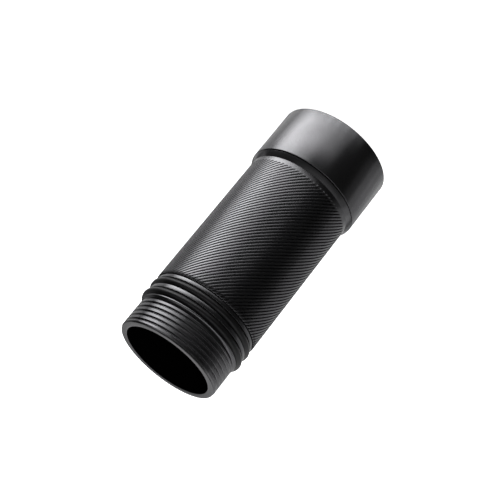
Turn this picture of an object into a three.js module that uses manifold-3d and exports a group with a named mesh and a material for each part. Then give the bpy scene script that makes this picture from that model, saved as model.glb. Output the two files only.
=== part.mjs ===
// A screw-on laser collimator: a Galilean beam expander in a black anodised tube.
//
// The laser screws onto the male thread at the mouth (+Z end). Its beam meets the small
// negative input lens, spreads along the tube and leaves as a wide, parallel beam through
// the objective and the window in the head. Turning the smooth focus ring drives the
// objective cell along the axis through three pins in helical cam grooves.
//
// Units are millimetres. The Z axis is the optical axis, and the collimator stands on the
// flat front face of its bezel at z = 0, with the threaded mouth at the top.

import * as THREE from 'three';
import { mergeVertices } from 'three/addons/utils/BufferGeometryUtils.js';
import Module from 'manifold-3d';

const wasm = await Module();
wasm.setup();

// ---------------------------------------------------------------- driving dimensions

const GRIP_DIAMETER = 31.75;               // 1.25 inch bar stock
const GRIP_R = GRIP_DIAMETER / 2;
const HEAD_R = 16.83;                      // smooth focus ring
const TOTAL_LENGTH = 80;
const GAP = 0.05;                          // clearance between parts that rest on each other
const WELD = 1e-3;                         // vertices closer than this are one vertex

const OUTER_SEGMENTS = 48;
const ADAPTER_SEGMENTS = 36;
const INNER_SEGMENTS = 36;
const SMALL_SEGMENTS = 12;

// Outside, along the axis
const RING_FRONT = 0.3;                    // the focus ring clears the resting face
const RING_BACK = 17.0;
const COLLAR_FACE = 17.3;                  // the barrel's collar, behind the ring
const COLLAR_R = 16.75;
const CONE_END = 18.9;                     // the cone runs down to the grip's diameter
const GRIP_END = 63.25;
const GRIP_CHAMFER = 0.2;                  // off the radius at the end of the grip
const GRIP_CHAMFER_START = 63.0;
const BORE_R = 13.07;                      // laser socket in the mouth

// Focus mechanism
const FOCUS_TURN = THREE.MathUtils.degToRad(50);   // each way from the middle
const FOCUS_TRAVEL = 1.5;                          // objective travel each way
const CAM_LEAD = FOCUS_TRAVEL / FOCUS_TURN;        // mm per radian
const PIN_COUNT = 3;
const PIN_R = 0.7;
const PIN_Z = 11.3;
const PIN_CLEARANCE = 0.25;
const GROOVE_HALF = PIN_R + PIN_CLEARANCE;
const GROOVE_FLOOR_R = 15.3;
const JOURNAL_R = 14.0;                    // the focus ring turns on this
const RING_BORE_R = 14.2;
const TUBE_BORE_R = 12.6;                  // the objective cell slides in this
const CELL_R = 12.5;

// Bezel and window
const BEZEL_R = 14.9;
const BEZEL_BACK = 5.5;
const APERTURE_R = 11.6;
const NOSE_R = 13.45;                      // threaded nose of the barrel, inside the bezel
const NOSE_END = 3.0;
const RING_LIP_BORE_R = 15.1;
const RING_SHOULDER = 5.7;
const WINDOW_R = 13.2;
const WINDOW_FRONT = 1.15;
const WINDOW_BACK = 2.45;

// Objective: a cemented pair of lenses in a sliding cell
const CELL_FRONT = 4.8;
const CELL_BACK = 12.4;
const OBJECTIVE_R = 11.0;
const OBJECTIVE_FRONT = 6.6;               // rim of the crown element
const OBJECTIVE_SPLIT = 7.8;               // rim of the joint between the elements
const OBJECTIVE_BACK = 10.2;               // flat back of the flint, on the cell's seat
const JOINT_CURVATURE = 44;

// Damping O-ring, washer and the rib behind the cell
const RIB_FRONT = 14.2;
const RIB_BACK = 18.6;
const RIB_R = 11.6;
const DAMPING_SECTION_R = 0.6;
const DAMPING_Z = 15.7;
const DAMPING_HALF_WIDTH = 0.8;
const DAMPING_FLOOR_R = 12.85;

// Optical tube and input end
const OPTICAL_BORE_R = 13.0;
const SEAT_Z = 44.0;                       // shoulder that the input cell rests on
const COUNTERBORE_R = 14.5;
const SPIGOT_R = 14.42;
const SPIGOT_END = 50.05;
const INPUT_LENS_R = 6.0;
const BAFFLE_THICKNESS = 1.0;
const BAFFLES = [
  { name: 'baffle_front', z: 25, openingR: 10 },
  { name: 'baffle_rear', z: 35, openingR: 8 },
];

// Threaded adapter: lands, O-ring grooves, lip with its cone, and thread
const LAND_R = 15.55;
const O_RING_SECTION_R = 1.1;
const O_RING_OUTER_R = 16.06;
const O_RING_CENTRE_R = O_RING_OUTER_R - O_RING_SECTION_R;
const O_RING_FLOOR_R = O_RING_CENTRE_R - O_RING_SECTION_R - 0.06;
const O_RING_GROOVE_HALF = 1.2;
const O_RING_UPPER_Z = 65.65;
const O_RING_LOWER_Z = 69.2;
const LIP_R = 15.3;
const LIP_END = 70.75;
const LIP_CONE_R = 14.8;                   // small end of the cone between lip and thread
const THREAD_START = 71.5;
const THREAD_R = 15.03;
const THREAD_PITCH = 1.44;
const THREAD_DEPTH = 0.5;
const THREAD_ROOT_R = THREAD_R - THREAD_DEPTH;
const THREAD_ENTRY_CHAMFER = 0.4;          // where the thread starts
const THREAD_CHAMFER_R = 14.75;            // at the end face
const THREAD_CHAMFER = 0.4;
const BORE_CHAMFER = 0.2;

// ---------------------------------------------------------------- materials

const finish = (color, roughness, metalness, extra = {}) => () =>
  new THREE.MeshStandardMaterial({ color, roughness, metalness, ...extra });

const anodised = finish(0x1b1b1d, 0.36, 0.85);
const innerBlack = finish(0x0e0e0f, 0.75, 0.4);
const rubber = finish(0x101011, 0.62, 0.0);
const acetal = finish(0x141414, 0.5, 0.0);
const brass = finish(0xb08d45, 0.3, 1.0);
const glass = finish(0xdfeaf2, 0.03, 0.0, { transparent: true, opacity: 0.35 });

// ---------------------------------------------------------------- solids

// Only positions, shared between neighbours, with no collapsed triangles.
function weld(geometry) {
  const bare = geometry.clone();
  bare.deleteAttribute('normal');
  bare.deleteAttribute('uv');
  const merged = mergeVertices(bare, WELD);
  const index = Array.from(merged.index.array);
  const kept = [];
  for (let i = 0; i < index.length; i += 3) {
    const [a, b, c] = index.slice(i, i + 3);
    if (a !== b && b !== c && c !== a) kept.push(a, b, c);
  }
  merged.setIndex(kept);
  return merged;
}

function toManifold(geometry) {
  const welded = weld(geometry);
  return new wasm.Manifold(new wasm.Mesh({
    numProp: 3,
    vertProperties: new Float32Array(welded.attributes.position.array),
    triVerts: new Uint32Array(welded.index.array),
  }));
}

function fromManifold(solid) {
  const mesh = solid.getMesh();
  const geometry = new THREE.BufferGeometry();
  geometry.setAttribute('position', new THREE.BufferAttribute(new Float32Array(mesh.vertProperties), 3));
  geometry.setIndex(new THREE.BufferAttribute(new Uint32Array(mesh.triVerts), 1));
  return weld(geometry);
}

function cut(geometry, tools) {
  const solid = tools.reduce((left, tool) => left.subtract(toManifold(tool)), toManifold(geometry));
  return fromManifold(solid);
}

// Turns an outline of [radius, z] points about Z. The outline runs up the outside and down
// the inside, and closes on itself unless it starts and ends on the axis.
function turned(outline, segments) {
  const points = outline.map(([radius, z]) => new THREE.Vector2(radius, z));
  const [first, last] = [outline[0], outline.at(-1)];
  if (first[0] > 0 || last[0] > 0) points.push(points[0].clone());
  return new THREE.LatheGeometry(points, segments).rotateX(Math.PI / 2);
}

// A plain ring between two radii and two heights.
function ring(innerR, outerR, bottom, top, segments) {
  return turned([[innerR, bottom], [outerR, bottom], [outerR, top], [innerR, top]], segments);
}

function oRing(centreR, sectionR, z, sides) {
  const outline = [];
  for (let i = 0; i < sides; i += 1) {
    const angle = (i / sides) * 2 * Math.PI;
    outline.push([centreR + sectionR * Math.cos(angle), z + sectionR * Math.sin(angle)]);
  }
  return turned(outline, OUTER_SEGMENTS);
}

// Height of a spherical surface above its rim plane, at a radius.
function sag(curvature, rimR, radius) {
  return Math.sqrt(curvature ** 2 - radius ** 2) - Math.sqrt(curvature ** 2 - rimR ** 2);
}

// A lens from its rim planes and the bulge of each face: positive curvature is convex,
// negative is concave, and null is flat.
function lens(rimR, bottom, top, bottomCurvature, topCurvature) {
  const rings = 4;
  const bulge = (curvature, radius) =>
    (curvature === null ? 0 : Math.sign(curvature) * sag(Math.abs(curvature), rimR, radius));
  const lower = [];
  const upper = [];
  for (let i = 0; i <= rings; i += 1) {
    const radius = (rimR * i) / rings;
    lower.push([radius, bottom - bulge(bottomCurvature, radius)]);
    upper.unshift([radius, top + bulge(topCurvature, radius)]);
  }
  return turned([...lower, ...upper], INNER_SEGMENTS);
}

// A box along +X from one radius to another, then turned about Z.
function radialBox(fromR, toR, width, bottom, top, angle) {
  return new THREE.BoxGeometry(toR - fromR, width, top - bottom)
    .translate((fromR + toR) / 2, 0, (bottom + top) / 2)
    .rotateZ(angle);
}

// A round bar along +X from one radius to another, then turned about Z.
function radialBar(fromR, toR, radius, z, angle) {
  return new THREE.CylinderGeometry(radius, radius, toR - fromR, SMALL_SEGMENTS)
    .rotateZ(-Math.PI / 2)
    .translate((fromR + toR) / 2, 0, z)
    .rotateZ(angle);
}

// Sweeps a four-cornered section about Z. corners(t) gives four [radius, z] points at
// t = 0..1 along the sweep, counter-clockwise as seen looking along the sweep's start.
function sweptBar(steps, startAngle, endAngle, corners) {
  const positions = [];
  const index = [];
  const sides = 4;
  for (let i = 0; i <= steps; i += 1) {
    const t = i / steps;
    const angle = THREE.MathUtils.lerp(startAngle, endAngle, t);
    for (const [radius, z] of corners(t)) {
      positions.push(radius * Math.cos(angle), radius * Math.sin(angle), z);
    }
  }
  for (let i = 0; i < steps; i += 1) {
    for (let side = 0; side < sides; side += 1) {
      const a = i * sides + side;
      const b = i * sides + ((side + 1) % sides);
      index.push(a, b, b + sides, a, b + sides, a + sides);
    }
  }
  const last = steps * sides;
  index.push(0, 2, 1, 0, 3, 2);
  index.push(last, last + 1, last + 2, last, last + 2, last + 3);
  const geometry = new THREE.BufferGeometry();
  geometry.setAttribute('position', new THREE.Float32BufferAttribute(positions, 3));
  geometry.setIndex(index);
  return geometry;
}

// ---------------------------------------------------------------- parts that stay put

const pinAngles = Array.from({ length: PIN_COUNT }, (_, i) => (i * 2 * Math.PI) / PIN_COUNT);

// Grip tube with its collar, the journal that carries the focus ring and the threaded nose.
function barrel() {
  const body = turned([
    [TUBE_BORE_R, NOSE_END],
    [NOSE_R, NOSE_END],
    [NOSE_R, RING_SHOULDER],
    [JOURNAL_R, RING_SHOULDER],
    [JOURNAL_R, DAMPING_Z - DAMPING_HALF_WIDTH],
    [DAMPING_FLOOR_R, DAMPING_Z - DAMPING_HALF_WIDTH],
    [DAMPING_FLOOR_R, DAMPING_Z + DAMPING_HALF_WIDTH],
    [JOURNAL_R, DAMPING_Z + DAMPING_HALF_WIDTH],
    [JOURNAL_R, COLLAR_FACE],
    [COLLAR_R, COLLAR_FACE],
    [GRIP_R, CONE_END],
    [GRIP_R, GRIP_CHAMFER_START],
    [GRIP_R - GRIP_CHAMFER, GRIP_END],
    [COUNTERBORE_R, GRIP_END],
    [COUNTERBORE_R, SEAT_Z],
    [OPTICAL_BORE_R, SEAT_Z],
    [OPTICAL_BORE_R, RIB_BACK],
    [RIB_R, RIB_BACK],
    [RIB_R, RIB_FRONT],
    [TUBE_BORE_R, RIB_FRONT],
  ], OUTER_SEGMENTS);
  const slots = pinAngles.map((angle) => radialBox(
    TUBE_BORE_R - 1,
    JOURNAL_R + 1,
    2 * GROOVE_HALF,
    PIN_Z - FOCUS_TRAVEL - GROOVE_HALF,
    PIN_Z + FOCUS_TRAVEL + GROOVE_HALF,
    angle,
  ));
  return cut(body, slots);
}

// The right-hand thread ridge, longer than the threaded length at both ends.
function threadRidge() {
  const buried = 0.35;
  const rootHalf = 0.44 * THREAD_PITCH;
  const crestHalf = 0.22 * THREAD_PITCH;
  const start = THREAD_START - THREAD_PITCH;
  const turns = Math.ceil((TOTAL_LENGTH - start) / THREAD_PITCH) + 1;
  return sweptBar(turns * ADAPTER_SEGMENTS, 0, turns * 2 * Math.PI, (t) => {
    const z = start + t * turns * THREAD_PITCH;
    return [
      [THREAD_ROOT_R - buried, z - rootHalf],
      [THREAD_ROOT_R - buried, z + rootHalf],
      [THREAD_R, z + crestHalf],
      [THREAD_R, z - crestHalf],
    ];
  });
}

// The ridge trimmed flat at its start and at the end face, with a chamfer at each.
function thread() {
  const inside = THREAD_ROOT_R - 0.5;
  const trim = turned([
    [inside, THREAD_START],
    [THREAD_ROOT_R, THREAD_START],
    [THREAD_R + 0.1, THREAD_START + THREAD_ENTRY_CHAMFER],
    [THREAD_R + 0.1, TOTAL_LENGTH - THREAD_CHAMFER],
    [THREAD_CHAMFER_R, TOTAL_LENGTH],
    [inside, TOTAL_LENGTH],
  ], ADAPTER_SEGMENTS);
  return toManifold(threadRidge()).intersect(toManifold(trim));
}

// Adapter that carries both sealing rings and the thread that the laser screws onto.
function threadAdapter() {
  const grooveWalls = (z) => [
    [LAND_R, z - O_RING_GROOVE_HALF],
    [O_RING_FLOOR_R, z - O_RING_GROOVE_HALF],
    [O_RING_FLOOR_R, z + O_RING_GROOVE_HALF],
  ];
  const core = turned([
    [BORE_R, SPIGOT_END],
    [SPIGOT_R, SPIGOT_END],
    [SPIGOT_R, GRIP_END + GAP],
    [LAND_R, GRIP_END + GAP],
    ...grooveWalls(O_RING_UPPER_Z),
    [LAND_R, O_RING_UPPER_Z + O_RING_GROOVE_HALF],
    ...grooveWalls(O_RING_LOWER_Z),
    [LIP_R, O_RING_LOWER_Z + O_RING_GROOVE_HALF],
    [LIP_R, LIP_END],
    [LIP_CONE_R, THREAD_START],
    [THREAD_ROOT_R, THREAD_START],
    [THREAD_ROOT_R, TOTAL_LENGTH],
    [BORE_R + BORE_CHAMFER, TOTAL_LENGTH],
    [BORE_R, TOTAL_LENGTH - BORE_CHAMFER],
  ], ADAPTER_SEGMENTS);
  return fromManifold(toManifold(core).add(thread()));
}

// Cell that centres the input lens and is clamped on the barrel's shoulder by the adapter.
function inputLensCell() {
  return turned([
    [INPUT_LENS_R - 0.9, SEAT_Z + GAP],
    [SPIGOT_R, SEAT_Z + GAP],
    [SPIGOT_R, SPIGOT_END - GAP],
    [INPUT_LENS_R + 3.4, SPIGOT_END - GAP],
    [INPUT_LENS_R + 0.85, SPIGOT_END - 1.6],
    [INPUT_LENS_R + 0.85, SPIGOT_END - 2.6],
    [INPUT_LENS_R + GAP, SPIGOT_END - 2.6],
    [INPUT_LENS_R + GAP, SEAT_Z + 0.95],
    [INPUT_LENS_R - 0.9, SEAT_Z + 0.95],
  ], INNER_SEGMENTS);
}

function inputLens() {
  return lens(INPUT_LENS_R, SEAT_Z + 1, SPIGOT_END - 2.65, -22, -22);
}

function spannerRing(innerR, outerR, bottom, top, slotBottom, slotWidth) {
  const slots = [0, Math.PI].map((angle) =>
    radialBox(innerR - 1, outerR + 1, slotWidth, slotBottom[0], slotBottom[1], angle));
  return cut(ring(innerR, outerR, bottom, top, INNER_SEGMENTS), slots);
}

function inputLensRetainer() {
  const top = SPIGOT_END - 1.6;
  return spannerRing(INPUT_LENS_R - 1, INPUT_LENS_R + 0.8, SPIGOT_END - 2.55, top, [top - 0.5, top + 1], 1.2);
}

// A knife-edged stop across the tube.
function baffle(z, openingR) {
  const rimR = OPTICAL_BORE_R - GAP;
  return turned([
    [openingR, z],
    [rimR, z],
    [rimR, z + BAFFLE_THICKNESS],
    [openingR + 1.2, z + BAFFLE_THICKNESS],
    [openingR, z + 0.25],
  ], INNER_SEGMENTS);
}

// Screwed on the nose: it holds the window in and keeps the focus ring on the journal.
function frontBezel() {
  const body = turned([
    [APERTURE_R + 0.7, 0],
    [BEZEL_R - 0.4, 0],
    [BEZEL_R, 0.4],
    [BEZEL_R, BEZEL_BACK],
    [NOSE_R + 0.1, BEZEL_BACK],
    [NOSE_R + 0.1, WINDOW_FRONT - GAP],
    [APERTURE_R, WINDOW_FRONT - GAP],
    [APERTURE_R, 0.7],
  ], OUTER_SEGMENTS);
  const spannerSlots = [0, Math.PI].map((angle) =>
    radialBox(APERTURE_R - 1, BEZEL_R - 1.1, 1.6, -1, 0.55, angle));
  return cut(body, spannerSlots);
}

function windowSeal() {
  return ring(TUBE_BORE_R + 0.1, WINDOW_R, WINDOW_BACK + GAP, NOSE_END - GAP, INNER_SEGMENTS);
}

// Slippery washer between the back of the focus ring and the collar.
function thrustWasher() {
  return ring(JOURNAL_R + 0.15, HEAD_R - 0.7, RING_BACK + GAP, COLLAR_FACE - 0.02, OUTER_SEGMENTS);
}

// Greased ring that gives the focus ring its smooth, heavy feel.
function dampingRing() {
  return oRing(DAMPING_FLOOR_R + DAMPING_SECTION_R + GAP, DAMPING_SECTION_R, DAMPING_Z, 6);
}

function protectiveWindow() {
  return turned([[0, WINDOW_FRONT], [WINDOW_R, WINDOW_FRONT], [WINDOW_R, WINDOW_BACK], [0, WINDOW_BACK]],
    INNER_SEGMENTS);
}

// ---------------------------------------------------------------- focus ring

// Blind helical groove inside the ring. A pin that stands still climbs as the ring turns.
function camGroove(pinAngle) {
  const steps = 22;
  const overrun = THREE.MathUtils.degToRad(4.5);
  const reach = FOCUS_TURN + overrun;
  return sweptBar(steps, pinAngle - reach, pinAngle + reach, (t) => {
    const turn = THREE.MathUtils.lerp(-reach, reach, t);
    const z = PIN_Z - CAM_LEAD * turn;
    return [
      [RING_BORE_R - 1, z - GROOVE_HALF],
      [RING_BORE_R - 1, z + GROOVE_HALF],
      [GROOVE_FLOOR_R, z + GROOVE_HALF],
      [GROOVE_FLOOR_R, z - GROOVE_HALF],
    ];
  });
}

function focusRing() {
  const edge = 0.15;
  const body = turned([
    [RING_LIP_BORE_R + 0.2, RING_FRONT],
    [HEAD_R - edge, RING_FRONT],
    [HEAD_R, RING_FRONT + edge],
    [HEAD_R, RING_BACK - edge],
    [HEAD_R - edge, RING_BACK],
    [RING_BORE_R, RING_BACK],
    [RING_BORE_R, RING_SHOULDER],
    [RING_LIP_BORE_R, RING_SHOULDER],
    [RING_LIP_BORE_R, RING_FRONT + 0.2],
  ], OUTER_SEGMENTS);
  return cut(body, pinAngles.map(camGroove));
}

// ---------------------------------------------------------------- objective cell

function objectiveCell() {
  const body = turned([
    [OBJECTIVE_R + 0.4, CELL_FRONT],
    [CELL_R, CELL_FRONT],
    [CELL_R, CELL_BACK],
    [OBJECTIVE_R - 0.8, CELL_BACK],
    [OBJECTIVE_R - 0.8, OBJECTIVE_BACK + GAP],
    [OBJECTIVE_R + GAP, OBJECTIVE_BACK + GAP],
    [OBJECTIVE_R + GAP, OBJECTIVE_FRONT],
    [OBJECTIVE_R + 0.4, OBJECTIVE_FRONT],
  ], OUTER_SEGMENTS);
  const holeR = PIN_R + 0.15;
  const pinHoles = pinAngles.map((angle) => radialBar(OBJECTIVE_R - 0.4, CELL_R + 1, holeR, PIN_Z, angle));
  return cut(body, pinHoles);
}

function objectiveCrown() {
  return lens(OBJECTIVE_R, OBJECTIVE_FRONT, OBJECTIVE_SPLIT, 45, JOINT_CURVATURE);
}

function objectiveFlint() {
  return lens(OBJECTIVE_R, OBJECTIVE_SPLIT + GAP, OBJECTIVE_BACK, -JOINT_CURVATURE, null);
}

function objectiveRetainer() {
  const bottom = CELL_FRONT + 0.2;
  return spannerRing(OBJECTIVE_R - 0.9, OBJECTIVE_R + 0.32, bottom, OBJECTIVE_FRONT - 0.3,
    [bottom - 1, bottom + 0.5], 1.4);
}

function followerPin(angle) {
  return radialBar(OBJECTIVE_R - 0.2, GROOVE_FLOOR_R - 0.3, PIN_R, PIN_Z, angle);
}

// ---------------------------------------------------------------- assembly

const collimator = new THREE.Group();

function add(name, geometry, material) {
  const mesh = new THREE.Mesh(geometry, material());
  mesh.name = name;
  collimator.add(mesh);
}

add('barrel', barrel(), anodised);
add('thread_adapter', threadAdapter(), anodised);
add('o_ring_upper', oRing(O_RING_CENTRE_R, O_RING_SECTION_R, O_RING_UPPER_Z, 8), rubber);
add('o_ring_lower', oRing(O_RING_CENTRE_R, O_RING_SECTION_R, O_RING_LOWER_Z, 8), rubber);
add('input_lens_cell', inputLensCell(), innerBlack);
add('input_lens', inputLens(), glass);
add('input_lens_retainer', inputLensRetainer(), innerBlack);
BAFFLES.forEach(({ name, z, openingR }) => add(name, baffle(z, openingR), innerBlack));
add('thrust_washer', thrustWasher(), acetal);
add('damping_o_ring', dampingRing(), rubber);
add('front_bezel', frontBezel(), anodised);
add('protective_window', protectiveWindow(), glass);
add('window_seal', windowSeal(), rubber);

add('focus_ring', focusRing(), anodised);

add('objective_cell', objectiveCell(), innerBlack);
add('objective_crown', objectiveCrown(), glass);
add('objective_flint', objectiveFlint(), glass);
add('objective_retainer', objectiveRetainer(), innerBlack);
pinAngles.forEach((angle, i) => add(`follower_pin_${i + 1}`, followerPin(angle), brass));

export default collimator;
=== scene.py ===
import math

import bmesh
import bpy
import numpy as np
from mathutils import Matrix, Vector


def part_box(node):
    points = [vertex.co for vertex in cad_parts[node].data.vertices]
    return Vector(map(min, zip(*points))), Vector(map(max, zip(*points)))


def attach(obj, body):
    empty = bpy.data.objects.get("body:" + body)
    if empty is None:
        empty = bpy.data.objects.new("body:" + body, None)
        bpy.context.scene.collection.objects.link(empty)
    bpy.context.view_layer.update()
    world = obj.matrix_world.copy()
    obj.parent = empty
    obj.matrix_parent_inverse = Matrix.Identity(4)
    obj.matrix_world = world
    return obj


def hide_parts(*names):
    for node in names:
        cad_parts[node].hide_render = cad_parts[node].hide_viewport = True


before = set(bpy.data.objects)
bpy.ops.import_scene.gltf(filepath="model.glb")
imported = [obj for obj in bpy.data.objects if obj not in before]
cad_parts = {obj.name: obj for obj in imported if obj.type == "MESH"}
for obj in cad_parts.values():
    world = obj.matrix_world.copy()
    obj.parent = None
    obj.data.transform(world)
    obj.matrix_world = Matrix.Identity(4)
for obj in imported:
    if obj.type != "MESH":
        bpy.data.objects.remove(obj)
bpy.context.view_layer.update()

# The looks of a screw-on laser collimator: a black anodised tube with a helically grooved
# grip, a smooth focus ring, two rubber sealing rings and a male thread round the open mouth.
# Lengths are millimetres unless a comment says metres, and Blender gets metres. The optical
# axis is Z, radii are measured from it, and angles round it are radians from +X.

MM = 0.001


def top(node):
    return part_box(node)[1].z / MM


def bottom(node):
    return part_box(node)[0].z / MM


def middle(node):
    return (top(node) + bottom(node)) / 2


def reach(node):
    """Largest radius of a CAD node about the optical axis."""
    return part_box(node)[1].x / MM


# ---------------------------------------------------------------- sizes from the frame

FIT = 0.05                        # gap between pieces that rest on or fit in one another
WASHER_GAP = 0.02

HEAD_R = reach("focus_ring")
RING_FRONT = bottom("focus_ring")
RING_BACK = top("focus_ring")
COLLAR_FACE = top("thrust_washer") + WASHER_GAP
COLLAR_R = reach("barrel")
NOSE_END = bottom("barrel")
GRIP_END = top("barrel")
TOTAL_LENGTH = top("thread_adapter")
SPIGOT_END = bottom("thread_adapter")
LAND_R = reach("thread_adapter")
BEZEL_R = reach("front_bezel")
BEZEL_BACK = top("front_bezel")
WINDOW_FRONT = bottom("protective_window")
WINDOW_BACK = top("protective_window")
WINDOW_R = reach("protective_window")
INPUT_CELL_FRONT = bottom("input_lens_cell")
INPUT_CELL_BACK = top("input_lens_cell")
SEAT_Z = INPUT_CELL_FRONT - FIT   # the shoulder in the barrel that this cell rests on
INPUT_LENS_R = reach("input_lens")
INPUT_RING_FACE = top("input_lens_retainer")
BAFFLE_R = reach("baffle_front")
CELL_R = reach("objective_cell")
CELL_FRONT = bottom("objective_cell")
CELL_BACK = top("objective_cell")
OBJECTIVE_R = reach("objective_flint")
OBJECTIVE_RING_FACE = bottom("objective_retainer")
PIN_Z = middle("follower_pin_1")
PIN_R = (top("follower_pin_1") - bottom("follower_pin_1")) / 2
PIN_REACH = reach("follower_pin_1")

# ---------------------------------------------------------------- sizes inside a node

GRIP_R = 15.875
CONE_END = 18.9
GROOVES = 80
GROOVE_START = 20.2
BAND_END = GROOVE_START - 0.05    # of the plain band between the cone and the grooves
GROOVE_END = 63.0
GROOVE_LEAD = 96.3                # length of grip in which a groove would go once round
GROOVE_DEPTH = 0.36
RUN_OUT = 0.6                     # length over which a groove rises to the plain band
RUN_OUT_CURVE = 0.6               # power of that rise, where 1 would be a straight ramp
RUN_OUT_ROWS = 8                  # rows of points along the rise
GRIP_ROWS = 46                    # rows of points along the rest of the grooves
FIRST_GRIP_ROW = 0.5              # how far past the rise the first of those lies
GRIP_CHAMFER = 0.12               # off the radius, between GROOVE_END and the end of the grip
GROOVE_SECTION = [                # (part of a groove's pitch, part of GROOVE_DEPTH)
    (0.00, 0.03), (0.06, 0), (0.28, 0), (0.50, 0), (0.56, 0.03),            # the flat land
    (0.62, 0.30), (0.70, 0.82), (0.78, 1), (0.86, 0.82), (0.94, 0.30),      # the round groove
]

FOCUS_TURN = math.radians(50)     # each way
FOCUS_TRAVEL = 1.5                # of the objective, each way
CAM_END = math.radians(4.5)       # what a cam groove has to spare past each end of the turn
SLOT_HALF = PIN_R + 0.25          # half width of a pin slot and of a cam groove
CAM_FLOOR_R = 15.3
JOURNAL_R = 14.0
TUBE_BORE_R = 12.6
NOSE_R = 13.45
RING_BORE_R = 14.2
RING_LIP_BORE_R = 15.1
RING_SHOULDER = 5.7
RIB_FRONT = 14.2
RIB_BACK = 18.6
RIB_R = 11.6
DAMPING_HALF = 0.8                # half width of the damping ring's groove
DAMPING_FLOOR_R = 12.85
APERTURE_R = 11.6
OPTICAL_BORE_R = 13.0
COUNTERBORE_R = 14.5

BORE_R = 13.07
SPIGOT_R = 14.42
SEAM_DEPTH = 0.35                 # of the shadow gap between the grip and the first land
SEAM_WIDTH = 0.1                  # of that gap, at its floor
SEAM_MOUTH = 0.15                 # and at the surface
SEAL_GROOVE_HALF = 1.2
SEAL_FLOOR_R = 13.8
LIP_R = 15.3
LIP_END = 70.75
THREAD_START = 71.5
LIP_CONE_R = 14.8                 # small end of the cone between the lip and the thread
LIP_CONE_END = THREAD_START - 0.02
THREAD_R = 15.03
THREAD_DEPTH = 0.38               # shallower than the CAD's, and catches light as in the photo
THREAD_ROOT_R = THREAD_R - THREAD_DEPTH
THREAD_PITCH = 1.44
CREST_HALF = 0.26                 # half width of the crest, as a part of the pitch
FLANK_END = 0.46                  # from the crest's middle to the root, as a part of the pitch
THREAD_ENTRY_CHAMFER = 0.4        # along the axis, where the thread begins behind the cone
THREAD_CHAMFER = 0.4              # along the axis, at the mouth
THREAD_CHAMFER_R = 14.75
RIM_R = THREAD_ROOT_R - 0.1       # outer edge of the flat rim
MOUTH_EDGE = 0.12                 # rounding between the rim and the bore

INPUT_LENS_FRONT = SEAT_Z + 1     # rims of the input lens
INPUT_LENS_BACK = INPUT_CELL_BACK - 2.6
INPUT_SPHERE_R = 22
OBJECTIVE_FRONT = 6.6             # rim of the crown element
OBJECTIVE_SPLIT = 7.8             # rim of the joint between the two elements
OBJECTIVE_BACK = 10.2
CROWN_SPHERE_R = 45
JOINT_SPHERE_R = 44
BAFFLE_OPENINGS = {"baffle_front": 10, "baffle_rear": 8}    # radii of the light path there
SPANNER_SLOT_DEPTH = 0.5

OVERCUT = 1                       # how far a cutter reaches past the surface it cuts
CREASE = 32                       # degrees: an edge that turns more than this stays sharp
GRIP_CREASE = 48
THREAD_CREASE = 50
SEAL_CREASE = 60


# ---------------------------------------------------------------- mesh helpers

def round_the_axis(count):
    """Evenly spaced angles, the first of them at +X."""
    return np.arange(count) * 2 * math.pi / count


PIN_ANGLES = round_the_axis(3)
SPANNER_SLOTS = round_the_axis(2)


def finish_mesh(name, points, faces, sharp_angle=CREASE):
    """An object from points in millimetres, smooth but for edges sharper than an angle."""
    mesh = bpy.data.meshes.new(name)
    mesh.from_pydata((np.asarray(points) * MM).tolist(), [], faces)
    work = bmesh.new()
    work.from_mesh(mesh)
    bmesh.ops.remove_doubles(work, verts=work.verts, dist=1e-8)    # those that meet on the axis
    work.to_mesh(mesh)
    work.free()
    mesh.validate()
    mesh.shade_smooth()
    mesh.set_sharp_from_angle(angle=math.radians(sharp_angle))
    piece = bpy.data.objects.new(name, mesh)
    bpy.context.scene.collection.objects.link(piece)
    return piece


def carried_round(outline, columns):
    """Grids of radius and height. Each point of the outline becomes a row, and each row holds
    the same point once for every column round the axis."""
    radius, height = np.array(outline).T
    return np.tile(radius[:, None], columns), np.tile(height[:, None], columns)


def skin(name, radius, height, angle, turned_columns=0, sharp_angle=CREASE):
    """A closed surface through rings of points, one ring per row, running up the outside
    and down the inside. The last ring joins the first, some whole columns further round."""
    rings, columns = radius.shape
    points = np.stack([radius * np.cos(angle), radius * np.sin(angle), height], axis=-1)
    index = np.arange(rings * columns).reshape(rings, columns)
    above = np.roll(index, -1, axis=0)
    above[-1] = np.roll(above[-1], -turned_columns)
    corners = [index, np.roll(index, -1, axis=1), np.roll(above, -1, axis=1), above]
    quads = np.stack(corners, axis=-1).reshape(-1, 4).tolist()
    return finish_mesh(name, points.reshape(-1, 3), quads, sharp_angle)


def turned(name, outline, columns=144, sharp_angle=CREASE):
    """Turns an outline of (radius, height) points about the optical axis."""
    radius, height = carried_round(outline, columns)
    return skin(name, radius, height, round_the_axis(columns), sharp_angle=sharp_angle)


def eased(outline, radius, steps=3, closed=True):
    """The outline with an arc in place of each corner, which takes up 0.4 of an edge at most."""
    corners = [Vector(point) for point in outline]
    result = []
    for i, corner in enumerate(corners):
        if not closed and i in (0, len(corners) - 1):
            result.append(corner)
            continue
        before = corners[i - 1] - corner
        after = corners[(i + 1) % len(corners)] - corner
        start = corner + before.normalized() * min(radius, 0.4 * before.length)
        end = corner + after.normalized() * min(radius, 0.4 * after.length)
        for step in range(steps + 1):
            t = step / steps
            result.append(start * (1 - t) ** 2 + corner * 2 * t * (1 - t) + end * t ** 2)
    return [tuple(point) for point in result]


def swept(name, rings):
    """A closed bar through rings of points, with a flat cap at each end."""
    rings = np.array(rings)
    count, sides = rings.shape[:2]
    faces = []
    for i in range(count - 1):
        for side in range(sides):
            a = i * sides + side
            b = i * sides + (side + 1) % sides
            faces.append((a, b, b + sides, a + sides))
    faces.append(tuple(reversed(range(sides))))
    faces.append(tuple(range((count - 1) * sides, count * sides)))
    return finish_mesh(name, rings.reshape(-1, 3), faces)


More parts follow.
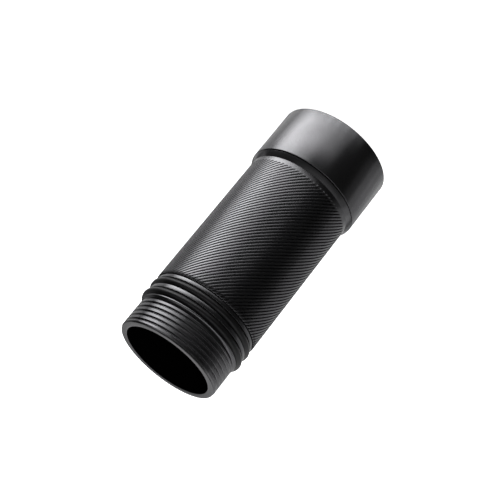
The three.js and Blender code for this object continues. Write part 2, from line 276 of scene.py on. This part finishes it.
def radial_box(from_r, to_r, width, low, high, angle):
    """A box whose length runs outward from the axis at an angle."""
    out = np.array((math.cos(angle), math.sin(angle), 0))
    side = np.array((-math.sin(angle), math.cos(angle), 0)) * width / 2
    up = np.array((0, 0, 1))
    section = [up * low - side, up * low + side, up * high + side, up * high - side]
    return swept("cutter", [[out * r + corner for corner in section] for r in (from_r, to_r)])


def radial_bar(name, stations, z, angle):
    """A round bar along a radius. stations are (distance from the axis, bar radius)."""
    out = Vector((math.cos(angle), math.sin(angle), 0))
    side = Vector((-math.sin(angle), math.cos(angle), 0))
    turns = round_the_axis(48)
    return swept(name, [
        [out * r + side * size * math.cos(t) + Vector((0, 0, z + size * math.sin(t))) for t in turns]
        for r, size in stations
    ])


def cut(piece, cutters, sharp_angle=CREASE):
    """Takes the cutters out of a piece, and throws them away."""
    for cutter in cutters:
        boolean = piece.modifiers.new("cut", "BOOLEAN")
        boolean.operation = "DIFFERENCE"
        boolean.solver = "EXACT"
        boolean.object = cutter
    evaluated = piece.evaluated_get(bpy.context.evaluated_depsgraph_get())
    result = bpy.data.meshes.new_from_object(evaluated)
    piece.modifiers.clear()
    piece.data = result
    result.set_sharp_from_angle(angle=math.radians(sharp_angle))
    for cutter in cutters:
        bpy.data.objects.remove(cutter)
    return piece


# ---------------------------------------------------------------- the grooved barrel

def make_barrel():
    """The tube. Each row of the grip is turned as far as the grooves have got by then. The
    rows after it are all turned by one whole number of grooves, so that they fit the first."""
    places, depths = np.array(GROOVE_SECTION).T
    columns = GROOVES * len(places)
    around = ((np.arange(GROOVES)[:, None] + places) * 2 * math.pi / GROOVES).ravel()
    depth = np.tile(depths, GROOVES) * GROOVE_DEPTH
    damping_front = middle("damping_o_ring") - DAMPING_HALF
    damping_back = middle("damping_o_ring") + DAMPING_HALF

    front = eased([
        (TUBE_BORE_R, NOSE_END), (NOSE_R, NOSE_END),
        (NOSE_R, RING_SHOULDER), (JOURNAL_R, RING_SHOULDER),
        (JOURNAL_R, damping_front), (DAMPING_FLOOR_R, damping_front),
        (DAMPING_FLOOR_R, damping_back), (JOURNAL_R, damping_back),
        (JOURNAL_R, COLLAR_FACE), (COLLAR_R, COLLAR_FACE),
        (GRIP_R, CONE_END), (GRIP_R, BAND_END),
    ], radius=0.07, steps=2, closed=False)
    run_out = GROOVE_START + RUN_OUT * np.linspace(0, 1, RUN_OUT_ROWS)
    full_depth = np.linspace(run_out[-1] + FIRST_GRIP_ROW, GROOVE_END, GRIP_ROWS)
    grip = [(GRIP_R, z) for z in [*run_out, *full_depth]] + [(GRIP_R - GRIP_CHAMFER, GRIP_END)]
    back = [
        (COUNTERBORE_R, GRIP_END), (COUNTERBORE_R, SEAT_Z),
        (OPTICAL_BORE_R, SEAT_Z), (OPTICAL_BORE_R, RIB_BACK),
        (RIB_R, RIB_BACK), (RIB_R, RIB_FRONT), (TUBE_BORE_R, RIB_FRONT),
    ]
    radius, height = carried_round([*front, *grip, *back], columns)
    grooved = slice(len(front), len(front) + len(grip))
    rise = np.clip((height[grooved] - GROOVE_START) / RUN_OUT, 0, 1) ** RUN_OUT_CURVE
    radius[grooved] = np.minimum(radius[grooved], GRIP_R - depth * rise)

    grooves_crossed = (height[:, :1] - GROOVE_START) / GROOVE_LEAD * GROOVES
    grooves_inside = round(grooves_crossed[grooved][-1, 0])
    grooves_crossed[:grooved.start] = 0
    grooves_crossed[grooved.stop:] = grooves_inside
    angle = around + grooves_crossed * 2 * math.pi / GROOVES
    tube = skin("barrel_grip_tube", radius, height, angle,
                turned_columns=grooves_inside * len(places), sharp_angle=GRIP_CREASE)

    slot_front = PIN_Z - (FOCUS_TRAVEL + SLOT_HALF)
    slot_back = PIN_Z + (FOCUS_TRAVEL + SLOT_HALF)
    pin_slots = [
        radial_box(TUBE_BORE_R - OVERCUT, JOURNAL_R + OVERCUT, 2 * SLOT_HALF, slot_front, slot_back, a)
        for a in PIN_ANGLES
    ]
    return cut(tube, pin_slots, sharp_angle=GRIP_CREASE)


# ---------------------------------------------------------------- the threaded adapter

def thread_height(phase):
    """Height of the ridge, 0 along the root and 1 along the crest, at a phase in turns."""
    from_crest = np.abs((phase + 0.5) % 1 - 0.5)
    return np.clip((FLANK_END - from_crest) / (FLANK_END - CREST_HALF), 0, 1)


def make_adapter():
    """The back end of the object: a spigot in the barrel, the lands with their two seal
    grooves, a lip, and the thread up to the rim of the mouth."""
    columns, thread_rows = 216, 200
    upper, lower = middle("o_ring_upper"), middle("o_ring_lower")
    seam = GRIP_END + FIT

    def seal_groove(z):
        return [(LAND_R, z - SEAL_GROOVE_HALF), (SEAL_FLOOR_R, z - SEAL_GROOVE_HALF),
                (SEAL_FLOOR_R, z + SEAL_GROOVE_HALF)]

    front = eased([
        (BORE_R, SPIGOT_END), (SPIGOT_R, SPIGOT_END),
        (SPIGOT_R, seam), (LAND_R - SEAM_DEPTH, seam),
        (LAND_R - SEAM_DEPTH, seam + SEAM_WIDTH), (LAND_R, seam + SEAM_MOUTH),
        *seal_groove(upper), (LAND_R, upper + SEAL_GROOVE_HALF),
        *seal_groove(lower), (LIP_R, lower + SEAL_GROOVE_HALF),
        (LIP_R, LIP_END), (LIP_CONE_R, LIP_CONE_END),
    ], radius=0.08, closed=False)
    thread = [(THREAD_R, z) for z in np.linspace(THREAD_START, TOTAL_LENGTH, thread_rows)]
    rim = [
        (RIM_R, TOTAL_LENGTH), (BORE_R + MOUTH_EDGE, TOTAL_LENGTH),
        (BORE_R + MOUTH_EDGE / 4, TOTAL_LENGTH - MOUTH_EDGE / 4), (BORE_R, TOTAL_LENGTH - MOUTH_EDGE),
    ]
    radius, height = carried_round([*front, *thread, *rim], columns)
    angle = round_the_axis(columns)
    threaded = slice(len(front), len(front) + len(thread))
    from_start = height[threaded] - THREAD_START
    to_rim = TOTAL_LENGTH - height[threaded]
    ridge = thread_height(from_start / THREAD_PITCH - angle / (2 * math.pi))
    entry_slope = THREAD_DEPTH / THREAD_ENTRY_CHAMFER
    chamfer_slope = (THREAD_R - THREAD_CHAMFER_R) / THREAD_CHAMFER
    radius[threaded] = np.minimum.reduce([
        THREAD_ROOT_R + ridge * THREAD_DEPTH,
        THREAD_ROOT_R + from_start * entry_slope,
        THREAD_CHAMFER_R + to_rim * chamfer_slope,
    ])
    return skin("thread_adapter_body", radius, height, angle, sharp_angle=THREAD_CREASE)


# ---------------------------------------------------------------- rings, seals and covers

def make_seal(node, name):
    """A rubber ring of round section."""
    section_r = (top(node) - bottom(node)) / 2
    centre_r = reach(node) - section_r
    section = [
        (centre_r + section_r * math.cos(a), middle(node) + section_r * math.sin(a))
        for a in round_the_axis(24)
    ]
    return turned(name, section, columns=224, sharp_angle=SEAL_CREASE)


def make_focus_ring():
    """The smooth head, with a cam groove inside it for each pin."""
    front_edge, back_edge, lip_edge = 0.25, 0.12, 0.2
    outline = eased([
        (RING_LIP_BORE_R + lip_edge, RING_FRONT), (HEAD_R - front_edge, RING_FRONT),
        (HEAD_R, RING_FRONT + front_edge), (HEAD_R, RING_BACK - back_edge),
        (HEAD_R - back_edge, RING_BACK), (RING_BORE_R, RING_BACK),
        (RING_BORE_R, RING_SHOULDER), (RING_LIP_BORE_R, RING_SHOULDER),
        (RING_LIP_BORE_R, RING_FRONT + lip_edge),
    ], radius=0.08, steps=2)
    ring = turned("focus_ring_shell", outline, columns=256)
    return cut(ring, [cam_groove(angle) for angle in PIN_ANGLES])


def cam_groove(pin_angle):
    """Helical cutter inside the focus ring. A pin that stands still climbs as it turns."""
    lead = FOCUS_TRAVEL / FOCUS_TURN
    half_length = FOCUS_TURN + CAM_END
    inner_r = RING_BORE_R - OVERCUT
    rings = []
    for turn in np.linspace(-half_length, half_length, 61):
        out = Vector((math.cos(pin_angle + turn), math.sin(pin_angle + turn), 0))
        z = PIN_Z - lead * turn
        rings.append([
            out * r + Vector((0, 0, z + side * SLOT_HALF))
            for r, side in ((inner_r, 1), (inner_r, -1), (CAM_FLOOR_R, -1), (CAM_FLOOR_R, 1))
        ])
    return swept("cutter", rings)


def make_bezel():
    """The screwed cover on the barrel's nose, with two spanner slots in its front face."""
    edge, mouth_flare = 0.4, 0.7
    ledge = WINDOW_FRONT - FIT
    thread_r = NOSE_R + 0.1
    bezel = turned("front_bezel_ring", eased([
        (APERTURE_R + mouth_flare, 0), (BEZEL_R - edge, 0), (BEZEL_R, edge), (BEZEL_R, BEZEL_BACK),
        (thread_r, BEZEL_BACK), (thread_r, ledge), (APERTURE_R, ledge), (APERTURE_R, mouth_flare),
    ], radius=0.08), columns=192)
    slot_end, slot_width, slot_depth = BEZEL_R - 1.1, 1.6, 0.55
    return cut(bezel, [
        radial_box(APERTURE_R - OVERCUT, slot_end, slot_width, -OVERCUT, slot_depth, a)
        for a in SPANNER_SLOTS
    ])


def make_window():
    bevel = 0.15
    return turned("front_window_disc", [
        (0, WINDOW_FRONT), (WINDOW_R - bevel, WINDOW_FRONT), (WINDOW_R, WINDOW_FRONT + bevel),
        (WINDOW_R, WINDOW_BACK - bevel), (WINDOW_R - bevel, WINDOW_BACK), (0, WINDOW_BACK),
    ])


def make_plain_ring(node, name, inner_r, ease):
    """A flat washer of a node's outer radius and height."""
    low, high, outer_r = bottom(node), top(node), reach(node)
    outline = [(inner_r, low), (outer_r, low), (outer_r, high), (inner_r, high)]
    return turned(name, eased(outline, ease))


def make_spanner_ring(node, name, inner_r, slot_low, slot_high, slot_width):
    """A retaining ring with two slots across its face for a spanner."""
    ring = make_plain_ring(node, name, inner_r, ease=0.08)
    return cut(ring, [
        radial_box(inner_r - OVERCUT, reach(node) + OVERCUT, slot_width, slot_low, slot_high, a)
        for a in SPANNER_SLOTS
    ])


# ---------------------------------------------------------------- optics and their mounts

def sag(sphere_r, rim_r, radius):
    """Height of a spherical surface above its rim plane, at a radius."""
    return math.sqrt(sphere_r ** 2 - radius ** 2) - math.sqrt(sphere_r ** 2 - rim_r ** 2)


def make_lens(name, rim_r, low, high, low_sphere_r, high_sphere_r):
    """A lens from its rim planes and the sphere of each face: a positive radius is convex,
    a negative one is concave, and None is flat."""
    def bulge(sphere_r, radius):
        return math.copysign(sag(abs(sphere_r), rim_r, radius), sphere_r) if sphere_r else 0

    radii = np.linspace(0, rim_r, 17)
    lower = [(r, low - bulge(low_sphere_r, r)) for r in radii]
    upper = [(r, high + bulge(high_sphere_r, r)) for r in reversed(radii)]
    return turned(name, [*lower, *upper], columns=96)


def make_input_cell():
    """The holder of the input lens, which opens toward the mouth in a cone."""
    aperture_r = INPUT_LENS_R - 0.9
    pocket_r = INPUT_LENS_R + FIT
    thread_r = INPUT_LENS_R + 0.85
    cone_r = INPUT_LENS_R + 3.4
    pocket_floor = SEAT_Z + 0.95
    thread_floor = INPUT_CELL_BACK - 2.55
    cone_floor = INPUT_CELL_BACK - 1.55
    return turned("input_cell_body", eased([
        (aperture_r, INPUT_CELL_FRONT), (SPIGOT_R, INPUT_CELL_FRONT), (SPIGOT_R, INPUT_CELL_BACK),
        (cone_r, INPUT_CELL_BACK), (thread_r, cone_floor), (thread_r, thread_floor),
        (pocket_r, thread_floor), (pocket_r, pocket_floor), (aperture_r, pocket_floor),
    ], radius=0.07))


def make_baffle(node, name):
    """A knife-edged stop across the tube."""
    opening_r = BAFFLE_OPENINGS[node]
    edge_slope_end, edge_thickness = opening_r + 1.2, 0.25
    low, high = bottom(node), top(node)
    return turned(name, [
        (opening_r, low), (BAFFLE_R, low), (BAFFLE_R, high),
        (edge_slope_end, high), (opening_r, low + edge_thickness),
    ])


def make_objective_cell():
    """The sliding holder of the two objective elements, with a hole for each pin."""
    seat_r = OBJECTIVE_R - 0.8
    pocket_r = OBJECTIVE_R + FIT
    pocket_floor = OBJECTIVE_BACK + FIT
    front_r = OBJECTIVE_R + 0.4
    cell = turned("objective_cell_sleeve", eased([
        (front_r, CELL_FRONT), (CELL_R, CELL_FRONT), (CELL_R, CELL_BACK), (seat_r, CELL_BACK),
        (seat_r, pocket_floor), (pocket_r, pocket_floor), (pocket_r, OBJECTIVE_FRONT),
        (front_r, OBJECTIVE_FRONT),
    ], radius=0.07))
    hole_r = PIN_R + 0.15
    hole = [(OBJECTIVE_R - 0.4, hole_r), (CELL_R + OVERCUT, hole_r)]
    return cut(cell, [radial_bar("cutter", hole, PIN_Z, angle) for angle in PIN_ANGLES])


def make_pin(number, angle):
    """A pin on the objective cell, which reaches into a cam groove."""
    edge = 0.15
    inner_end = OBJECTIVE_R - 0.2
    return radial_bar(f"cam_follower_pin_{number}", [
        (inner_end, PIN_R - edge), (inner_end + edge, PIN_R),
        (PIN_REACH - edge, PIN_R), (PIN_REACH, PIN_R - edge),
    ], PIN_Z, angle)


# ---------------------------------------------------------------- materials

def new_material(name):
    material = bpy.data.materials.new(name)
    material.use_nodes = True
    tree = material.node_tree
    return material, tree, tree.nodes["Principled BSDF"]


def millimetres(tree, stretch=(1, 1, 1)):
    """Object coordinates in millimetres, stretched along each axis."""
    place = tree.nodes.new("ShaderNodeTexCoord")
    scale = tree.nodes.new("ShaderNodeMapping")
    scale.inputs["Scale"].default_value = [s / MM for s in stretch]
    tree.links.new(place.outputs["Object"], scale.inputs["Vector"])
    return scale.outputs["Vector"]


def noise(tree, vector, scale, detail):
    made = tree.nodes.new("ShaderNodeTexNoise")
    made.inputs["Scale"].default_value = scale
    made.inputs["Detail"].default_value = detail
    tree.links.new(vector, made.inputs["Vector"])
    return made.outputs["Fac"]


def spread(tree, value, low, high):
    """Maps a 0..1 value onto low..high."""
    made = tree.nodes.new("ShaderNodeMapRange")
    made.inputs["To Min"].default_value = low
    made.inputs["To Max"].default_value = high
    tree.links.new(value, made.inputs["Value"])
    return made.outputs["Result"]


def calculate(tree, operation, first, second):
    """One maths node. Each side is a socket or a number."""
    made = tree.nodes.new("ShaderNodeMath")
    made.operation = operation
    for socket, value in zip(made.inputs, (first, second)):
        if isinstance(value, (int, float)):
            socket.default_value = value
        else:
            tree.links.new(value, socket)
    return made.outputs[0]


def tinted(tree, value, low_colour, high_colour):
    """Maps a 0..1 value onto a blend of two colours."""
    made = tree.nodes.new("ShaderNodeMix")
    made.data_type = "RGBA"
    made.inputs["A"].default_value = (*low_colour, 1)
    made.inputs["B"].default_value = (*high_colour, 1)
    tree.links.new(value, made.inputs["Factor"])
    return made.outputs["Result"]


def scaled(colour, factor):
    return [channel * factor for channel in colour]


def bump(tree, shader, height, distance_mm):
    """Relief from a 0..1 value, which stands for so many millimetres."""
    made = tree.nodes.new("ShaderNodeBump")
    made.inputs["Distance"].default_value = distance_mm * MM
    tree.links.new(height, made.inputs["Height"])
    tree.links.new(made.outputs["Normal"], shader.inputs["Normal"])


ANODISED_GREY = (0.045, 0.045, 0.0468)    # how much it mirrors face on, faintly blue
ANODISED_METAL_SHARE = 0.9
EDGE_SHEEN = 0.5                          # of a plain metal's shine at a glancing angle


def take_off_glare(shader, metal_share):
    """Dulls a black surface at glancing angles. A share of its shine becomes a metal's, which
    can be dulled there, and the base colour then sets how much that share mirrors face on."""
    shader.inputs["Metallic"].default_value = metal_share
    shader.inputs["Specular Tint"].default_value = (EDGE_SHEEN, EDGE_SHEEN, EDGE_SHEEN, 1)


def anodised(name, roughness, turning, grain):
    """Black anodising over turned aluminium: fine rings from the lathe, a matt grain and
    slow variation in how deep the dye looks. turning and grain weigh the two reliefs."""
    material, tree, shader = new_material(name)
    rings = noise(tree, millimetres(tree, stretch=(0.05, 0.05, 9.0)), scale=1.0, detail=4)
    fine = noise(tree, millimetres(tree), scale=14.0, detail=2)
    cloud = noise(tree, millimetres(tree), scale=0.12, detail=3)
    colour = tinted(tree, cloud, scaled(ANODISED_GREY, 0.8), scaled(ANODISED_GREY, 1.25))
    tree.links.new(colour, shader.inputs["Base Color"])
    tree.links.new(spread(tree, rings, roughness - 0.04, roughness + 0.04), shader.inputs["Roughness"])
    take_off_glare(shader, ANODISED_METAL_SHARE)
    relief = calculate(tree, "ADD", calculate(tree, "MULTIPLY", rings, turning),
                       calculate(tree, "MULTIPLY", fine, grain))
    bump(tree, shader, relief, distance_mm=0.0012)
    return material


def moulded(name, colour, roughness, specular, relief_mm, metal_share=0.0):
    """Rubber or plastic from a mould: blotchy gloss over a fine uneven skin."""
    material, tree, shader = new_material(name)
    blotch = noise(tree, millimetres(tree), scale=0.5, detail=3)
    uneven = noise(tree, millimetres(tree), scale=6.0, detail=4)
    tree.links.new(tinted(tree, blotch, scaled(colour, 0.75), scaled(colour, 1.3)),
                   shader.inputs["Base Color"])
    tree.links.new(spread(tree, blotch, roughness - 0.06, roughness + 0.06), shader.inputs["Roughness"])
    shader.inputs["Specular IOR Level"].default_value = specular
    bump(tree, shader, uneven, relief_mm)
    if metal_share:
        take_off_glare(shader, metal_share)
    return material


def coated_glass(name, reflection):
    """Clear glass with an anti-reflection coating, whose faint reflection is tinted."""
    material, tree, shader = new_material(name)
    shader.inputs["Base Color"].default_value = (0.97, 0.99, 1.0, 1)
    shader.inputs["Transmission Weight"].default_value = 1.0
    shader.inputs["IOR"].default_value = 1.5
    shader.inputs["Specular Tint"].default_value = (*reflection, 1)
    haze = noise(tree, millimetres(tree), scale=0.4, detail=2)
    tree.links.new(spread(tree, haze, 0.0, 0.02), shader.inputs["Roughness"])
    return material


def metal(name, colour, roughness):
    """Bare turned metal with uneven polish."""
    material, tree, shader = new_material(name)
    shader.inputs["Metallic"].default_value = 1.0
    polish = noise(tree, millimetres(tree), scale=5.0, detail=3)
    tree.links.new(tinted(tree, polish, scaled(colour, 0.85), colour), shader.inputs["Base Color"])
    tree.links.new(spread(tree, polish, roughness - 0.06, roughness + 0.08), shader.inputs["Roughness"])
    bump(tree, shader, polish, distance_mm=0.004)
    return material


HEAD_FINISH = anodised("anodised_smooth", roughness=0.22, turning=0.25, grain=0.15)
GRIP_FINISH = anodised("anodised_turned", roughness=0.22, turning=0.5, grain=0.3)
CELL_FINISH = anodised("anodised_matt", roughness=0.55, turning=0.6, grain=0.8)
BORE_FINISH = moulded("light_trap_black", (0.0006, 0.0006, 0.0006), roughness=0.9,
                      specular=0.0, relief_mm=0.01)
RUBBER = moulded("seal_rubber", (0.0095, 0.0095, 0.0098), roughness=0.38,
                 specular=0.22, relief_mm=0.006, metal_share=0.75)
ACETAL = moulded("black_acetal", (0.008, 0.008, 0.008), roughness=0.45,
                 specular=0.5, relief_mm=0.003)
OBJECTIVE_GLASS = coated_glass("green_coated_glass", reflection=(0.45, 0.9, 0.6))
WINDOW_GLASS = coated_glass("violet_coated_glass", reflection=(0.6, 0.5, 1.0))
BRASS = metal("turned_brass", (0.72, 0.50, 0.18), roughness=0.25)


# ---------------------------------------------------------------- every piece in its place

def blacken_inside(piece, radius):
    """Gives the faces nearer the optical axis than a radius the matt black of the bore."""
    piece.data.materials.append(BORE_FINISH)
    for face in piece.data.polygons:
        if math.hypot(face.center.x, face.center.y) < radius * MM:
            face.material_index = 1


def place(piece, node, body, slot, material, inside_r=0):
    """Puts a piece in a CAD node's place, with its body and its material. The slot argument is not
    used.
    """
    piece.data.materials.clear()
    piece.data.materials.append(material)
    if inside_r:
        blacken_inside(piece, inside_r)
    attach(piece, body)
    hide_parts(node)


place(make_barrel(), "barrel", "housing", "black_anodised", GRIP_FINISH,
      inside_r=COUNTERBORE_R + 0.01)
place(make_adapter(), "thread_adapter", "housing", "black_anodised", GRIP_FINISH,
      inside_r=BORE_R + 0.05)
for node, name in (("o_ring_upper", "sealing_ring_upper"), ("o_ring_lower", "sealing_ring_lower"),
                   ("damping_o_ring", "damping_ring")):
    place(make_seal(node, name), node, "housing", "rubber", RUBBER)
place(make_plain_ring("thrust_washer", "thrust_washer_disc", inner_r=JOURNAL_R + 0.15, ease=0.05),
      "thrust_washer", "housing", "acetal", ACETAL)

place(make_bezel(), "front_bezel", "housing", "black_anodised", GRIP_FINISH)
place(make_window(), "protective_window", "housing", "optical_glass", WINDOW_GLASS)
place(make_plain_ring("window_seal", "window_gasket", inner_r=TUBE_BORE_R + 0.1, ease=0.1),
      "window_seal", "housing", "rubber", RUBBER)

place(make_input_cell(), "input_lens_cell", "housing", "inner_black", CELL_FINISH)
place(make_lens("input_lens_element", INPUT_LENS_R, INPUT_LENS_FRONT, INPUT_LENS_BACK,
                -INPUT_SPHERE_R, -INPUT_SPHERE_R),
      "input_lens", "housing", "optical_glass", OBJECTIVE_GLASS)
place(make_spanner_ring("input_lens_retainer", "input_retaining_ring", inner_r=INPUT_LENS_R - 1,
                        slot_low=INPUT_RING_FACE - SPANNER_SLOT_DEPTH,
                        slot_high=INPUT_RING_FACE + OVERCUT, slot_width=1.2),
      "input_lens_retainer", "housing", "inner_black", CELL_FINISH)
for baffle in BAFFLE_OPENINGS:
    place(make_baffle(baffle, f"{baffle}_stop"), baffle, "housing", "inner_black", CELL_FINISH)

place(make_focus_ring(), "focus_ring", "focus_ring", "ring_anodised", HEAD_FINISH)

place(make_objective_cell(), "objective_cell", "objective", "inner_black", CELL_FINISH)
place(make_lens("crown_element", OBJECTIVE_R, OBJECTIVE_FRONT, OBJECTIVE_SPLIT,
                CROWN_SPHERE_R, JOINT_SPHERE_R),
      "objective_crown", "objective", "optical_glass", OBJECTIVE_GLASS)
place(make_lens("flint_element", OBJECTIVE_R, OBJECTIVE_SPLIT + FIT, OBJECTIVE_BACK,
                -JOINT_SPHERE_R, None),
      "objective_flint", "objective", "optical_glass", OBJECTIVE_GLASS)
place(make_spanner_ring("objective_retainer", "objective_retaining_ring",
                        inner_r=OBJECTIVE_R - 0.9, slot_low=OBJECTIVE_RING_FACE - OVERCUT,
                        slot_high=OBJECTIVE_RING_FACE + SPANNER_SLOT_DEPTH, slot_width=1.4),
      "objective_retainer", "objective", "inner_black", CELL_FINISH)
for number, angle in enumerate(PIN_ANGLES, start=1):
    place(make_pin(number, angle), f"follower_pin_{number}", "objective", "brass", BRASS)


# ---------------------------------------------------------------- camera

def direction(bearing, elevation):
    """A unit vector at a bearing round the optical axis and an elevation above the floor."""
    level = math.cos(elevation)
    return Vector((level * math.cos(bearing), level * math.sin(bearing), math.sin(elevation)))


FACING = math.radians(137)              # the side of the tube turned to the camera
ELEVATION = math.radians(24.46)         # the tube's axis leans this much out of the picture plane
DISTANCE = 23.72 * GRIP_R               # from the camera to what it aims at
LENS = 99.65                            # focal length, for a sensor 36 mm wide
AIM_HEIGHT = 40.42                      # the aim's place along the axis
AIM_ASIDE = 0.076 * GRIP_R              # and its distance from the axis
MOUTH_DIRECTION = math.radians(51.19)   # below the picture's left, where the mouth points


def make_camera():
    """The photo's camera. toward points from the tube to it, along is the tube's axis as the
    picture shows it, and aside lies across both."""
    toward = direction(FACING, ELEVATION)
    along = (Vector((0, 0, 1)) - math.sin(ELEVATION) * toward) / math.cos(ELEVATION)
    aside = along.cross(toward)
    picture_right = -math.cos(MOUTH_DIRECTION) * along - math.sin(MOUTH_DIRECTION) * aside
    picture_up = toward.cross(picture_right)
    aim = Vector((0, 0, AIM_HEIGHT)) + AIM_ASIDE * aside

    data = bpy.data.cameras.new("camera")
    data.lens = LENS
    data.sensor_width = 36
    data.clip_start = 0.01
    data.clip_end = 20
    camera = bpy.data.objects.new("camera", data)
    bpy.context.scene.collection.objects.link(camera)
    turn = Matrix((picture_right, picture_up, toward)).transposed().to_4x4()
    camera.matrix_world = Matrix.Translation((aim + DISTANCE * toward) * MM) @ turn
    bpy.context.scene.camera = camera


# ---------------------------------------------------------------- floor, world and lights

FLOOR_HALF = 4.0                  # metres from the tube to the floor's edges
STUDIO_R = 0.9                    # metres from the tube to every softbox
STUDIO_CENTRE = Vector((0, 0, 0.04))    # metres
STRIP = 20                        # degrees: the powers in a row are for strips this wide
DIMMEST = 0.02                    # a softbox with less power than this is left out


def make_floor():
    """A pale floor that never mirrors in the black tube or shines up through its lenses."""
    corners = [(x * FLOOR_HALF, y * FLOOR_HALF, 0) for x, y in ((-1, -1), (1, -1), (1, 1), (-1, 1))]
    mesh = bpy.data.meshes.new("floor")
    mesh.from_pydata(corners, [], [(0, 1, 2, 3)])
    floor = bpy.data.objects.new("floor", mesh)
    bpy.context.scene.collection.objects.link(floor)
    material, tree, shader = new_material("pale_floor")
    shader.inputs["Base Color"].default_value = (0.9, 0.9, 0.9, 1)
    shader.inputs["Roughness"].default_value = 0.9
    shader.inputs["Specular IOR Level"].default_value = 0.0
    shader.inputs["Emission Color"].default_value = (1, 1, 1, 1)
    shader.inputs["Emission Strength"].default_value = 0.93
    mesh.materials.append(material)
    floor.visible_glossy = False
    floor.visible_diffuse = False
    floor.visible_transmission = False
    floor.visible_shadow = False


def make_world():
    """White to the camera, and dark to everything else."""
    world = bpy.data.worlds.new("studio")
    world.use_nodes = True
    tree = world.node_tree
    background = tree.nodes["Background"]
    background.inputs["Color"].default_value = (1, 1, 1, 1)
    path = tree.nodes.new("ShaderNodeLightPath")
    seen = spread(tree, path.outputs["Is Camera Ray"], 0.0, 1.0)
    tree.links.new(seen, background.inputs["Strength"])
    bpy.context.scene.world = world


def panel(name, around, height, width, tall, power):
    """A softbox that faces the tube. around is its bearing in degrees from the camera's
    side, positive to the picture's upper left, and height is its elevation in degrees, both
    seen from the tube. width and tall are metres."""
    outward = direction(FACING + math.radians(around), math.radians(height))
    data = bpy.data.lights.new(name, "AREA")
    data.shape = "RECTANGLE"
    data.size = width
    data.size_y = tall
    data.energy = power
    light = bpy.data.objects.new(name, data)
    bpy.context.scene.collection.objects.link(light)
    light.location = STUDIO_CENTRE + outward * STUDIO_R
    light.rotation_euler = outward.to_track_quat("Z", "Y").to_euler()


def graded_row(name, height, tall, stops, step=STRIP):
    """Softboxes side by side on a ring round the tube, lit as one wide gradient. stops are
    (bearing, power) pairs, and the power of a strip changes evenly between them. step is the
    width of one softbox in degrees, and a narrower one than a strip gets its part of the power."""
    width = STUDIO_R * math.radians(step)
    bearings, powers = zip(*stops)
    for bearing in range(bearings[0] + step // 2, bearings[-1], step):
        power = float(np.interp(bearing, bearings, powers)) * step / STRIP
        if power > DIMMEST:
            panel(f"{name}_{bearing}", bearing, height, width, tall, power)


make_camera()
make_floor()
make_world()
graded_row("key_low", height=-33, tall=0.22, step=5, stops=[
    (-15, 0), (25, 0.75), (60, 1.8), (88, 2.9), (105, 1.7), (120, 0.3)])
graded_row("key_high", height=-20, tall=0.22, step=5, stops=[
    (20, 0), (50, 1.1), (70, 2.4), (90, 2.4), (110, 0.2)])
graded_row("under_key", height=-50, tall=0.27, stops=[
    (-30, 0.1), (10, 0.9), (70, 2.4), (90, 0)])
graded_row("surround", height=-27, tall=0.44, stops=[
    (-245, 0.8), (-225, 1.5), (-205, 0.2), (-180, 0.1), (-160, 0.3),
    (-140, 1.0), (-120, 0.8), (-95, 0.5), (-70, 0)])
graded_row("level", height=1, tall=0.32, stops=[
    (-245, 0), (-230, 0.6), (-205, 0), (-180, 0.2), (-160, 0.6), (-115, 0.8), (-75, 0.2), (-50, 0)])
graded_row("canopy_edge", height=20, tall=0.29, stops=[
    (-235, 0), (-210, 0.5), (-170, 0.65), (-140, 0.7), (-95, 0.3), (-45, 0.2), (30, 0.1), (45, 0)])
graded_row("canopy", height=40, tall=0.32, stops=[
    (-195, 0), (-175, 0.8), (-140, 0.7), (-60, 0.5), (-20, 0.9), (10, 0.9), (60, 0.5), (85, 0)])

scene = bpy.context.scene
scene.view_settings.view_transform = "Standard"
scene.view_settings.look = "None"
